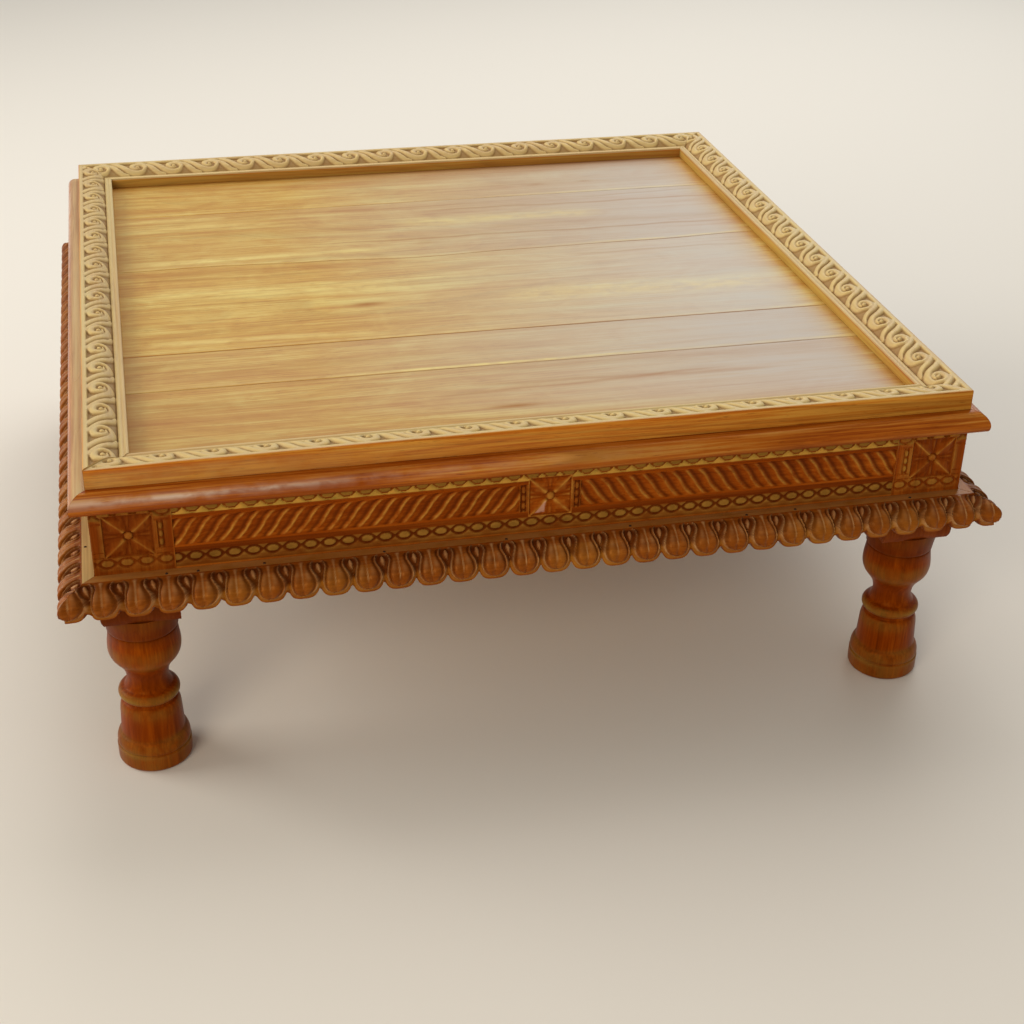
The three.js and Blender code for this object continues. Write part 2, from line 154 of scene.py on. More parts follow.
def oiled_wood(name, tones, grime_and_shade, bare_and_highlight, wash, roughness, shine, fine, lines, contrast,
               gleam="#FFCF88", mottle=0.1, chip=None):
    """Teak under oil and old shellac, in three tones from dark to light. Bands, streaks and
    fibres are noises drawn out along the grain, the bands clouded by mottle; fine makes them
    narrower, and contrast parts the tones. Growth lines are the level lines of a slow noise,
    as strong as lines says, and pores are short dark dashes.
    The carving attribute says how far a point takes the dark colour (x): dirt in a hollow,
    and in places painted shade; how far it takes the pale colour (y): where it stands proud
    and is rubbed, and in places a painted highlight; and how much of the pale wash it has
    kept (z), which on the tray is mostly a painted reflection of the window. Below zero, z
    marks a chip that shows raw wood, and on the left cornice and left ledge also a painted
    reflection. The polish has the roughness and shine given, and gleam tints what it mirrors."""
    material, tree = bare_material(name)
    grain = add_node(tree, "Attribute", {"attribute_name": "grain"}).outputs["Vector"]
    carving = add_node(tree, "Attribute", {"attribute_name": "carving"}).outputs["Vector"]
    hollow, proud, wash_and_reflection = add_node(tree, "SeparateXYZ", {0: carving}).outputs

    noises = []
    for pattern in (BANDS, STREAKS, FIBRES, CLOUDS, GROWTH, PORES, RUBBING):
        along, across, detail, distortion, rough = pattern
        if pattern in (BANDS, STREAKS, GROWTH):
            across = across * fine
        place = add_node(tree, "Mapping", {"Scale": (along, across, across), 0: grain})
        noises.append(add_node(tree, "TexNoise", {
            "Scale": 1.0, "Detail": detail, "Distortion": distortion, "Roughness": rough,
            "Vector": place}))
    band, streak, fibre, cloud, slow, dashes, patches = noises

    clouded = add_node(tree, "Mix", {0: mottle, 2: band, 3: cloud})
    streaked = add_node(tree, "Mix", {0: 0.42, 2: clouded, 3: streak})
    figure = add_node(tree, "Mix", {0: 0.3, 2: streaked, 3: fibre})
    ramp = add_node(tree, "ValToRGB", {0: figure})
    stops, spread = ramp.color_ramp.elements, 0.13 / contrast
    stops[0].position, stops[0].color = 0.5 - spread, linear(tones[0])
    stops[1].position, stops[1].color = 0.5 + spread, linear(tones[2])
    stops.new(0.5).color = linear(tones[1])

    rings = add_node(tree, "Math", {"operation": "MULTIPLY", 0: slow, 1: GROWTH_LINES})
    rings = add_node(tree, "Math", {"operation": "FRACT", 0: rings})
    rise = add_node(tree, "MapRange", {0: rings, 1: 0.45, 2: 0.93})
    fall = add_node(tree, "MapRange", {0: rings, 1: 1.0, 2: 0.93})
    late = add_node(tree, "Math", {"operation": "MULTIPLY", 0: rise, 1: fall})
    strength = add_node(tree, "MapRange", {0: band, 1: 0.38, 2: 0.62, 3: lines * 0.25,
                                           4: lines * 1.5})
    late = add_node(tree, "Math", {"operation": "MULTIPLY", 0: late, 1: strength})
    pore = add_node(tree, "MapRange", {0: dashes, 1: 0.35, 2: 0.25})
    holds = add_node(tree, "MapRange", {0: figure, 1: 0.38, 2: 0.6, 3: 0.68, 4: 0.94})
    kept = add_node(tree, "MapRange", {0: wash_and_reflection})
    kept = add_node(tree, "Math", {"operation": "MULTIPLY", 0: kept, 1: holds})
    patch = add_node(tree, "MapRange", {0: patches, 1: 0.25, 2: 0.6})
    rubbed = add_node(tree, "Math", {"operation": "MULTIPLY", 0: patch, 1: proud})
    layers = [(late, "MULTIPLY", LATE_WOOD), (pore, "MULTIPLY", OPEN_PORE),
              (kept, "MIX", linear(wash)), (rubbed, "MIX", linear(bare_and_highlight))]
    if chip:
        torn = add_node(tree, "MapRange", {0: figure, 1: 0.4, 2: 0.56, 3: 0.6, 4: 1.05})
        split = add_node(tree, "MapRange", {0: wash_and_reflection, 1: 0.0, 2: -1.0})
        split = add_node(tree, "Math", {"operation": "MULTIPLY", 0: split, 1: torn})
        layers.append((split, "MIX", linear(chip)))
    colour = ramp
    # The darkest colour goes on last, by the x channel: dirt in the hollows, and painted shade
    # where a piece marks it.
    for share, blend, tint in (*layers, (hollow, "MIX", linear(grime_and_shade))):
        colour = add_node(tree, "Mix", {"data_type": "RGBA", "blend_type": blend, 0: share,
                                        6: colour, 7: tint}).outputs[2]

    dusty = add_node(tree, "MapRange", {0: hollow, 3: roughness, 4: 0.75})
    matt = add_node(tree, "MapRange", {0: band, 1: 0.25, 2: 0.75, 3: roughness - 0.08,
                                       4: roughness + 0.1})
    dull = add_node(tree, "Mix", {0: 0.5, 2: dusty, 3: matt})
    relief = add_node(tree, "Math", {"operation": "SUBTRACT", 0: fibre, 1: pore})
    bump = add_node(tree, "Bump", {"Strength": 0.3, "Distance": 0.0002, "Height": relief})
    surface = add_node(tree, "BsdfPrincipled", {
        "IOR": 1.5, "Specular IOR Level": shine, "Specular Tint": linear(gleam),
        "Base Color": colour, "Roughness": dull, "Normal": bump})
    add_node(tree, "OutputMaterial", {0: surface})
    return material


def held(x):
    """Each value held between 0 and 1."""
    return np.clip(x, 0, 1)


def bell(x, width):
    """A smooth hump: exp(-(x / width)^2)."""
    return np.exp(-(x / width) ** 2)


def from_nearest(x, pitch):
    """How far x lies past the nearest multiple of the pitch."""
    return (x / pitch - np.round(x / pitch)) * pitch


def blurred(height, reach):
    """The mean of a grid over a square of 2 reach + 1 cells, taken twice by running sums."""
    width = 2 * reach + 1
    for _ in range(2):
        for axis in (0, 1):
            edge = [(reach + 1, reach) if k == axis else (0, 0) for k in (0, 1)]
            total = np.cumsum(np.pad(height, edge, mode="edge"), axis)
            upper = np.take(total, range(width, total.shape[axis]), axis)
            height = (upper - np.take(total, range(total.shape[axis] - width), axis)) / width
    return height


def carved_look(height, deep, reach=3, most=0.45, rub=1.0):
    """The carving attribute, without wash. Grime is half the depth below the face as a share
    of deep, less a quarter, and 0.9 per millimetre that a point lies below its surroundings,
    times most. Rubbing is 2.2 per millimetre above its surroundings, times rub. The
    surroundings are the mean over reach cells on each side."""
    local = height - blurred(height, reach)
    grimy = held(-height / deep - 0.25) * 0.5 + np.clip(-local * 0.9, 0, 0.5)
    proud = held(local * 2.2) * rub
    return np.stack([held(grimy) * most, proud, np.zeros(height.shape)], -1)


def rosette(across, up, half):
    """A square flower. The distance along a diagonal is (|x| + |z|) / root 2 and from it
    | |x| - |z| | / root 2: four kite-shaped leaves with a thin midrib lie on the diagonals.
    Between them faint rays fan out, and a round button in a ring sits in the middle. Gives
    heights in millimetres against the face, and how far each place is rubbed."""
    ring_radius, button_radius, border_width = 5.6, 4.1, 1.5
    x, z = np.abs(across), np.abs(up)
    out, off = (x + z) / 2 ** 0.5, np.abs(x - z) / 2 ** 0.5
    kite = 0.36 * half * np.interp(out, [3.0, 0.66 * half, 1.36 * half], [0.12, 1, 0.02])
    over = held(1 - off / kite)
    midrib = bell(off, 0.75) * (out < 1.33 * half) * (out > 4)
    leaf = np.where(over > 0, -1.7 + 1.4 * over ** 0.8 + 0.4 * midrib, -2.6)
    long, short = np.maximum(x, z), np.minimum(x, z)
    fan = np.abs(np.cos(11 * np.arctan2(short, long + 0.01)))
    inside = held((long - 5) / 3) * held((half - border_width - long) / 1.2)
    flower = np.maximum(leaf, -2.4 + 0.9 * fan * inside)
    from_middle = np.hypot(x, z)
    dome = np.sqrt(held(1 - (from_middle / button_radius) ** 2))
    flower = np.where(from_middle < ring_radius, -2.3, flower)
    flower = np.where(from_middle < button_radius, -1.4 + 1.7 * dome, flower)
    border = held((long - (half - border_width)) / 0.7)
    rubbed = np.maximum(midrib * (from_middle > 5) * (1 - border), 0.25 * border)
    return flower * (1 - border) - 0.4 * border, rubbed


CHAIN_PITCH = 18.6
CHAIN_LEVELS = (311.5, 257.5)
CHAIN_HALF = 5.9  # half the height of a chain's band


def bead_chain(along, up):
    """Oval beads on a line, each inside two sine waves z = +-swing |cos(pi x / pitch)| that
    cross between the beads. The waves are cut as fine grooves. Gives heights, and which places
    lie on a bead and which outside the waves."""
    swing, half_long, half_high = 5.568, 5.952, 3.744
    turn = np.pi * along / CHAIN_PITCH
    wave = swing * np.abs(np.cos(turn))
    steep = np.sqrt(1 + (swing * np.pi / CHAIN_PITCH * np.sin(turn)) ** 2)
    groove = np.abs(np.abs(up) - wave) / steep
    x = from_nearest(along, CHAIN_PITCH)
    bead = np.sqrt(held(1 - (x / half_long) ** 2 - (up / half_high) ** 2))
    level = np.where(np.abs(up) < wave, -1.5, -0.5)
    level = np.minimum(level, -1.6 + 1.2 * held(groove / 0.9 - 0.35))
    level = np.where(bead > 0, np.maximum(level, -1.5 + 2.4 * bead), level)
    return level, bead > 0.25, np.abs(up) > wave


STRIP_MIDDLE = 285.5  # height of the middle of the strips and the frieze's rosette
STRIP_HALF = 15.3


def bead_strip(across, up):
    """A narrow upright strip: beads 4.4 mm wide and 8 mm long, 9 mm apart, between two fine
    cuts. Gives heights and the wash."""
    bead = np.sqrt(held(1 - (across / 2.2) ** 2 - (from_nearest(up, 9) / 4.0) ** 2))
    level = -1.9 + 1.9 * bead
    return np.where(np.abs(across) > 3.0, -0.5, level), np.where(bead > 0.2, 0.35, 0.0)


FACE = 451.0  # how far out the carved faces lie
LEDGE = 246.0  # height of the skirt's ledge, where the carving begins
FILLET_CUTS = (302.6, 300.9, 270.2, 264.2)


def bands(along, z):
    """What frieze and heads share: two bead chains, flat fillets and the strip on the skirt.
    Gives heights and the wash, which is fullest between the upper chain's waves."""
    level = np.full(z.shape, -0.45)
    wash = np.zeros(z.shape)
    for middle, on_bead, between in zip(CHAIN_LEVELS, (0.55, 0.66), (1.0, 0.12)):
        chain, bead, outside = bead_chain(along, z - middle)
        inside = np.abs(z - middle) < CHAIN_HALF
        tint = np.where(bead, on_bead, np.where(outside, between, 0.05))
        level, wash = np.where(inside, chain, level), np.where(inside, tint, wash)
    low = z < CHAIN_LEVELS[1] - CHAIN_HALF
    level = np.where(low, -0.35, level)
    wash = np.where(low, 0.12 * held((z - LEDGE) / 1.5), wash)
    for edge in FILLET_CUTS:
        level = np.minimum(level, -1.1 + np.clip(np.abs(z - edge) / 0.7 - 0.3, 0, 0.8))
    return level, wash


def uneven(a, b, size):
    """A hand-worked surface: a few slow sine waves, up to about size millimetres high."""
    return size * (np.sin(a * 0.031 + b * 0.017 + 1.3) + 0.6 * np.sin(a * 0.083 - b * 0.061)
                   + 0.4 * np.sin(a * 0.19 + b * 0.23 + 2.1)) / 2


def curve(start, c1, c2, end, count):
    """Points after the start on a cubic Bezier curve of outward distance and height."""
    t = np.linspace(0, 1, count + 1)[1:, None]
    s = 1 - t
    start, c1, c2, end = (np.array(p, float) for p in (start, c1, c2, end))
    return s ** 3 * start + 3 * s * s * t * c1 + 3 * s * t * t * c2 + t ** 3 * end


def turned_profile():
    """Radius and height of the turning, from the foot by body, shoulder, collar, neck and belly
    up to just inside the head. A span is a Bezier curve's two handles, its end and its steps."""
    spans = (
        ((36.4, 0), (38.2, 2.2), (38.2, 4.4), 8), ((38.3, 12), (38.3, 12), (38.3, 18.4), 3),
        ((36.7, 19.6), (36.7, 20.4), (37.4, 21), 6), ((38.3, 24), (37.2, 30.5), (34.6, 33.4), 9),
        ((33.2, 34.8), (32.9, 35.4), (32.7, 37), 5), ((32.3, 45), (31.8, 54), (31.6, 60), 6),
        ((31.3, 67), (29.6, 72.4), (27.4, 73.2), 10), ((26.7, 73.6), (26.7, 76.8), (27.3, 77.2), 6),
        ((31.6, 77.8), (33, 84), (29.6, 87.4), 12), ((27.6, 89), (25.2, 89.4), (24.4, 90.6), 6),
        ((22.6, 93.4), (21.4, 97), (21.4, 101), 7), ((21.4, 112), (28.6, 120), (32.6, 125), 12),
        ((35.8, 129), (37.2, 134), (37.2, 139.5), 8), ((37.2, 147), (35.4, 152), (35.2, 159), 8),
        ((35.1, 160.4), (33.9, 160.7), (33.9, 161.4), 5),
        ((33.9, 162.2), (35.9, 162), (36.1, 163), 5), ((36.6, 170), (38.7, 176), (38.9, 186), 8),
    )
    start = (34.2, 0)
    rows = [np.array([start])]
    for c1, c2, end, count in spans:
        rows.append(curve(start, c1, c2, end, count))
        start = end
    return np.concatenate(rows)


def quarter_turn(grid, turns):
    """The grid turned about the table's middle by quarter turns, anticlockwise from above."""
    x, y, z = grid[..., 0], grid[..., 1], grid[..., 2]
    for _ in range(turns):
        x, y = -y, x
    return np.stack([x, y, z], -1)


HEAD_FOOT, HEAD_TOP = 185, 320
HEAD_INNER = 373  # how far out the heads' inner faces lie


def head_block():
    """The front left leg's square head as rings of one outline going up, finely divided along
    its two outer faces, where the carving moves it in or out. Below the skirt it is plain and
    its lower corners are rounded off."""
    across_fine = np.concatenate([np.linspace(HEAD_INNER, HEAD_INNER + 1.5, 3),
                                  np.arange(375.5, 450, 0.95), [450.1, 450.6, 450.9]])
    levels = np.concatenate([
        [HEAD_FOOT, 185.3, 186, 187.2, 189, 191.5, 195, 199], np.linspace(204, 244, 9),
        np.arange(245.2, 319.4, 0.95), [319.5, HEAD_TOP]])
    across, z = np.meshgrid(across_fine, levels)
    level, wash = bands(across - 0.5 * CHAIN_PITCH, z)
    flower_half, flower_x, flower_z = 24.5, across - 415, (z - 286.5) * 1.04
    flower, rubbed = rosette(flower_x, flower_z, flower_half)
    square = np.maximum(np.abs(flower_x), np.abs(flower_z)) < flower_half
    strip_x, strip_z = across - 384.5, z - STRIP_MIDDLE
    strip, strip_wash = bead_strip(strip_x, strip_z)
    beside = (np.abs(strip_x) < 4.2) & (np.abs(strip_z) < STRIP_HALF)
    level = np.where(square, flower, np.where(beside, strip, level))
    wash = np.where(square, 0.0, np.where(beside, strip_wash, wash * 0.4))
    level = level * held((z - LEDGE) / 1.5)
    corner = held((across - 449.2) / 1.8) ** 2 * 0.9
    carved = level * held((450 - across) / 1.2) * held(across - 373.6)
    rounding = 3.2 * held(1 - (z - HEAD_FOOT) / 11) ** 2.2
    by_hand = uneven(across, z, 0.1) * held((450 - across) / 6)
    out = FACE - corner + carved + by_hand - rounding
    look = carved_look(carved, 3.0)
    look[..., 1] = np.maximum(look[..., 1] * 0.35, 0.75 * rubbed * square)
    dark = np.clip(0.04 - 0.17 * carved, 0.06, 0.5) * held((z - 247) / 4)
    # Painted shade: below the skirt the head is darkened where the skirt shades it.
    dark = np.maximum(dark, 0.45 * held((236 - z) / 10))
    look[..., 0] = np.maximum(look[..., 0], dark * (1 - look[..., 1]))
    look[..., 2] = wash
    across = np.minimum(across, out - 0.1)
    front = np.stack([-across, -out, z], -1)
    left = np.stack([-out, -across, z], -1)[:, ::-1]
    inner = np.full((len(z), 1, 3), -HEAD_INNER, float)
    inner[..., 2] = z[:, :1]
    grid = np.concatenate([front, left, inner], 1)
    return grid, np.concatenate([look, look[:, ::-1], np.zeros(inner.shape)], 1)


# Deep red-brown with a soft warm gloss, darkest under the head where painted shade lies,
# yellowed where the shellac has worn off the foot and the collar.
leg_wood = oiled_wood(
    "turned teak under shellac", ("#5E2000", "#823300", "#9E4A04"), grime_and_shade="#421402",
    bare_and_highlight="#8C6C2A", wash="#94803A", roughness=0.34, shine=0.15, fine=1.6, lines=0.25,
    contrast=0.85, gleam="#FFB050")
# Red stain gone dark in the cuts and golden on the rubbed edges, an olive wash left on the
# beads, and raw pink wood in one chip. The dark colour also paints shade on one side of each
# reed, under the skirt, and over the front left head.
carved_wood = oiled_wood(
    "carved teak, red stain and shellac", ("#722C02", "#903E05", "#AA5612"), grime_and_shade="#4C1602",
    bare_and_highlight="#CE963E", wash="#988638", roughness=0.4, shine=0.2, fine=1.6, lines=0.12,
    contrast=1.0, gleam="#FFB45A", chip="#D8A48C")

LEG_MIDDLE = 412.0
AROUND = 96  # points round the turning
profile = turned_profile()
radius = profile[:, :1]
angles = np.linspace(0, 2 * np.pi, AROUND + 1)[:-1]
turned = np.stack([radius * np.cos(angles) - LEG_MIDDLE, radius * np.sin(angles) - LEG_MIDDLE,
                   np.broadcast_to(profile[:, 1:], (len(profile), AROUND))], -1)
turned_radius = np.broadcast_to(radius, turned.shape[:2])
turned_look = carved_look(turned_radius - blurred(turned_radius, 9), 9.0, 4, 0.3, 0.3)
turned_z = turned[..., 2]
# Painted shade: the top of the turning is darkened where the head and skirt shade it.
turned_look[..., 0] += 0.45 * held((turned_z - 152) / 10)
worn = sum(much * bell(turned_z - level, 3)
           for level, much in ((20, 0.5), (34, 0.3), (83, 0.6)))
turned_look[..., 2] = worn * (0.6 + 0.4 * np.sin(3 * angles + turned_z / 9))
head, head_look = head_block()
for turns, corner in enumerate(("front_left", "front_right", "back_right", "back_left")):
    shells = []
    for label, grid, look, wood, darkening in (("turning", turned, turned_look, leg_wood, 0.07),
                                            ("head", head, head_look, carved_wood, 0.3)):
        # The front left leg is painted darker, its head most: painted shade for the corner that
        # gets less light.
        if corner == "front_left":
            look = look + (darkening, 0, 0)
        along_grain = np.stack([grid[..., 2], grid[..., 0] + 90 * turns, grid[..., 1]], -1) * MM
        shells.append(shell(label, quarter_turn(grid, turns), along_grain, look, wood))
    dress(joined("carved_leg_" + corner, shells), "leg_" + corner)


# FRIEZES
# Four boards tenoned into the leg heads. Each face is carved with S-shaped reeds that mirror
# about a rosette in the middle, between two chains of beads.

SIDES = ("front", "right", "back", "left")
REED_FOOT, REED_HEIGHT, REED_PITCH = 271, 29.5, 14.9


def reeds(along, z):
    """S-shaped flutes. From the foot of the band, t = 0, to its top, t = 1, an arris runs by
    23 mm * (t + 0.3 sin(2 pi t) / 2 pi), steepest in the middle. Between two arrises the
    surface hollows, deepest at 0.4 of the way from the inner one, and runs out at both ends
    of the band. Gives heights, the distance from the nearest arris, the share of the way
    between two arrises, and how full the reed is there."""
    t = (z - REED_FOOT) / REED_HEIGHT
    run = 23 * (t + 0.3 * np.sin(2 * np.pi * t) / (2 * np.pi))
    lean = 0.78 * (1 + 0.3 * np.cos(2 * np.pi * t))
    share = ((np.abs(along) + run + uneven(along * 3, z * 2, 0.8)) / REED_PITCH) % 1
    hollow = np.sin(np.pi * share ** 0.75) ** 0.8
    full = held(np.minimum(t, 1 - t) * REED_HEIGHT / 3.4) ** 0.6
    off = np.minimum(share, 1 - share) * REED_PITCH / np.sqrt(1 + lean ** 2)
    return -0.4 - 2.7 * hollow * full, off, share, full


FRIEZE_HALF = 372.97  # half its length between the heads
FLOWER_HALF = 22.6  # half the middle rosette's width


def frieze_grid():
    """The front board: rings are sections across it, carried along X. The carved face is the
    fine stretch of each ring. Painted shade lies in the reeds on one side of each arris. Grime
    lies along the lower chain, the arrises and the upper chain's ground are rubbed, and a wedge
    of the rosette is chipped."""
    stations = np.linspace(-FRIEZE_HALF, FRIEZE_HALF, 660)
    levels = np.concatenate([[222, 222.6, 230, 240], np.arange(246, 319.5, 0.98), [319.5, 320]])
    along, z = np.meshgrid(stations, levels, indexing="ij")
    level, wash = bands(along, z)
    in_reeds = (z > 270.6) & (z < 300.9)
    flutes, off, share, full = reeds(along, z)
    level = np.where(in_reeds, flutes, level)
    look = carved_look(level, 3.2)
    # Painted shade: each flute is darkened on one side of its arris.
    dark = 0.75 * bell(share - 0.3, 0.2) * held(off / 2.0 - 0.5)
    darkening = 0.48 - 0.04 * along / 373 + 0.08 * (along / 373) ** 2
    darkening = darkening + 0.32 * held((-level - 0.8) / 0.6) * (z < 264) * (z > 251)
    darkening = darkening * (z < 269) * (z > 247)
    look[..., 0] = np.where(in_reeds, dark, np.maximum(look[..., 0], darkening))
    look[..., 1] = np.where(in_reeds, 0.65 * full * bell(off, 1.1), look[..., 1] * (z < 263))
    bare_ground = wash > 0.95
    look[..., 1] = np.maximum(look[..., 1], 0.9 * bare_ground)
    look[..., 0] = np.where(bare_ground, 0, look[..., 0])
    from_middle = z - STRIP_MIDDLE
    square = np.maximum(np.abs(along), np.abs(from_middle)) < FLOWER_HALF
    flower, rubbed = rosette(along, from_middle, FLOWER_HALF)
    level = np.where(square, flower, level)
    plain = carved_look(level, 3.2)
    plain[..., 1] = np.maximum(plain[..., 1] * 0.6, rubbed)
    look = np.where(square[..., None], plain, look)
    for strip_x in (along + 27.4, along - 27.4):
        strip, strip_wash = bead_strip(strip_x, from_middle)
        beside = (np.abs(strip_x) < 4.4) & (np.abs(from_middle) < STRIP_HALF)
        level, wash = np.where(beside, strip, level), np.where(beside, strip_wash, wash)
        sunk = carved_look(level, 3.2, 3, 0.9, 0.3)
        look = np.where(beside[..., None], sunk + (0.3, 0, 0), look)
    down = (281 - z) / 14
    wedge = held(4.5 * down - np.abs(along + 5 + 6 * down) + 0.8)
    chip = wedge * (down > 0) * (down < 1)
    look[..., 2] = np.where(in_reeds | square, -0.75 * chip * square, wash)
    level = level * held((z - LEDGE) / 1.2)
    arris = np.where((z < 222.5) | (z > 319.7), 0.5, 0)
    face = np.stack([along, -(FACE - arris + level + uneven(along, z, 0.1)), z], -1)
    back = np.empty((len(stations), 5, 3))
    back[..., 0] = stations[:, None]
    back[..., 1] = (-429.6, -429, -429, -429, -429.6)
    back[..., 2] = (320, 319.4, 271, 222.6, 222)
    raw = np.broadcast_to((0.45, 0, 0), back.shape)
    return np.concatenate([face, back], 1), np.concatenate([look, raw], 1)


frieze, frieze_look = frieze_grid()
for turns, side in enumerate(SIDES):
    along_grain = frieze * MM + (0.31 * turns, 0.05 * turns, 0.02)
    if side != "front":
        frieze_look[..., 2] = np.maximum(frieze_look[..., 2], 0)
    board = shell("carved_frieze_" + side, quarter_turn(frieze, turns), along_grain, frieze_look,
                  carved_wood)
    dress(board, "frieze_" + side)


# SKIRT
# Four mitred mouldings nailed on the friezes and leg heads, carved as a row of lotus petals with
# a bud between each two, their lower edge cut in scallops. Small iron nails sit in the ledge.

PETAL_PITCH = 954.5 / 30
HALF_PETAL = PETAL_PITCH / 2


def petal_relief(off_ridge, down, edge):
    """Heights on the petals. off_ridge is the distance from a petal's midrib, down the way
    down the face and edge the length of that way here. A line loops round the bud between two
    petals, narrows to a neck and widens again to follow the petal's lower edge, with a lip
    outside it. Grime lies beside the line and round the bud; the line, the midrib and the bud
    are rubbed, and the belly carries a broad painted highlight. Gives the height and the
    carving attribute."""
    u = np.abs(off_ridge)
    from_bud = HALF_PETAL - u
    outline = np.interp(down, [0, 1, 3, 5, 9, 14, 19, 24, 28, 32, 36, 39, 42],
                        [3, 4.5, 6, 6.7, 7, 5.6, 3.9, 2.8, 2.8, 4.2, 7.4, 15.9, 19])
    inside = from_bud - outline
    across = held(u / np.maximum(HALF_PETAL - outline, 0.8))
    belly = 2 * np.sin(np.pi * across) * held((down - 3) / 14)
    rib_half = np.interp(down, [0, 4, 8, 30], [3.2, 1.6, 1, 0.8])
    rib = held(1 - u / rib_half) ** 0.7 * held((31 - down) / 5)
    bud_half = np.interp(down, [3.4, 4.2, 6, 9, 13, 17.5, 18], [0, 1.4, 2.2, 2.5, 1.6, 0.3, 0])
    bud = np.sqrt(held(1 - (from_bud / np.maximum(bud_half, 0.05)) ** 2))
    line = bell(inside, 0.95)
    lower = held((down - 24) / 4)
    sunk = -1.6 * (1 - lower) - 1.1 * lower
    height = np.where(inside > 0, (belly + 0.9 * rib) * held(inside / 1.5),
                      sunk * held(-inside / 1.2) + 2.2 * bud * (1 - lower))
    height = height + 1.2 * line - 1.3 * bell(inside - 2.2, 1)
    active = held((down - 0.5) / 1.5) * held((edge - 0.6 - down) / 1.4)
    grime_and_shade = (np.where(inside < 0, 0.6 * (1 - lower) * (1 - bud), 0.0)
             + 0.6 * bell(inside - 2.6, 1.4) * (1 - 0.4 * lower)
             + 0.2 * bell(down - 4, 5))
    # Painted highlight: a broad pale patch on each petal's belly.
    belly_highlight = 0.32 * bell(across - 0.45, 0.2) * bell(down - 16, 7)
    proud = np.maximum(0.72 * line, np.where(inside > 0, np.maximum(0.75 * rib, belly_highlight),
                                            0.6 * bud * (1 - lower)))
    lip = np.where(inside < 0, 0.5 * lower, 0.12) * held(np.abs(inside))
    return height * active, np.stack([grime_and_shade * active, proud * active, lip * active], -1)


SCALLOP = 11.5  # how much shorter the face is between two petals
VALLEY = 5.0  # how much further back it lies there
LEDGE_POINTS = 4


def skirt_grid():
    """Rings are sections of the skirt carried along X: a flat ledge, then a rounded face out to
    the tip and back to the scalloped edge, moved along its own normal by the carving. At u mm
    from a petal's ridge the way down is shorter by SCALLOP (u / half a petal)^4, and the face
    lies back by VALLEY (u / half a petal)^2.5."""
    share = np.linspace(-1, 1, 900)
    rows = len(share)
    upper = curve((12, 0), (19.67, -3), (35, -9), (35, -18), 60)
    lower = curve((35, -18), (35, -22.3), (33.7, -26.7), (31, -31), 34)
    path = np.concatenate([[(12, 0)], upper, lower])
    steps = np.linalg.norm(np.diff(path, axis=0), axis=1)
    length = np.concatenate([[0], np.cumsum(steps)])
    slope = np.gradient(path, axis=0) / np.gradient(length)[:, None]
    tip = share * (FACE + 31)
    u_tip = np.abs(from_nearest(tip, PETAL_PITCH))
    edge = (length[-1] - SCALLOP * (u_tip / HALF_PETAL) ** 4)[:, None]
    down = edge * np.linspace(0, 1, 47)
    reach, drop, run_out, run_down = (np.interp(down, length, column) for column in
                                      (path[:, 0], path[:, 1], slope[:, 0], slope[:, 1]))
    x = share[:, None] * (FACE + reach)
    off_ridge = from_nearest(x, PETAL_PITCH)
    relief, look = petal_relief(off_ridge, down, edge)
    valley = (np.abs(off_ridge) / HALF_PETAL) ** 2.5 * VALLEY * held(down / 20) ** 1.5
    out = reach - valley - relief * run_down
    up = drop + relief * run_out
    under_out = out[:, -1:] + np.array([[-1, -3, -9]])
    under_up = np.stack([up[:, -1] + 0.1, up[:, -1] + 0.5, np.full(rows, -22.0)], -1)
    ledge = np.array([[0.3, 0], [4, 0.05], [8, 0], [11, -0.05]])
    out = np.concatenate([np.broadcast_to(ledge[:, 0], (rows, LEDGE_POINTS)), out, under_out,
                          np.full((rows, 2), 0.3)], 1)
    up = np.concatenate([np.broadcast_to(ledge[:, 1], (rows, LEDGE_POINTS)), up, under_up,
                         np.broadcast_to([-24, -23], (rows, 2))], 1)
    out = FACE + out
    x = share[:, None] * (out - 0.3)
    grid = np.stack([x, -out, LEDGE + up + uneven(x, out, 0.08)], -1)
    patchy = held(np.sin(tip / 47 + 1) + np.sin(tip / 19))[:, None]
    look[..., 2] += 0.22 * patchy * (down > 12)
    look[..., 0] += 0.16 * held(-share)[:, None]
    plain = np.broadcast_to((0, 0.18, 0.5), (rows, LEDGE_POINTS, 3))
    raw = np.broadcast_to((0.45, 0, 0), (rows, 5, 3))
    return grid, np.concatenate([plain, look, raw], 1)


def nail_head(x, out):
    """A domed head: rings of radius 1.5 cos(t) and height 0.8 sin(t), with a foot below."""
    t = np.array([0, 0, 0.5, 1, 1.4])
    turn = np.linspace(0, 2 * np.pi, 11)[:-1]
    ring = 1.5 * np.cos(t)[:, None]
    top = LEDGE + 0.05 + np.array([-1.2, 0, 0.38, 0.67, 0.79])
    high = np.broadcast_to(top[:, None], (len(t), len(turn)))
    return np.stack([x + ring * np.cos(turn), -out + ring * np.sin(turn), high], -1)


# Brown stain, darker and soiled in the cuts, with pale rubbed lines, a broad painted highlight
# on each petal, and a yellow ledge, worn and painted paler on the left side for glancing light.
skirt_wood = oiled_wood(
    "carved teak, brown stain and shellac", ("#662602", "#843C07", "#A0561A"), grime_and_shade="#461902",
    bare_and_highlight="#CA9C66", wash="#AE7424", roughness=0.3, shine=0.26, fine=1.6, lines=0.06,
    contrast=0.8, gleam="#FFB86C", chip="#E0BE7A")
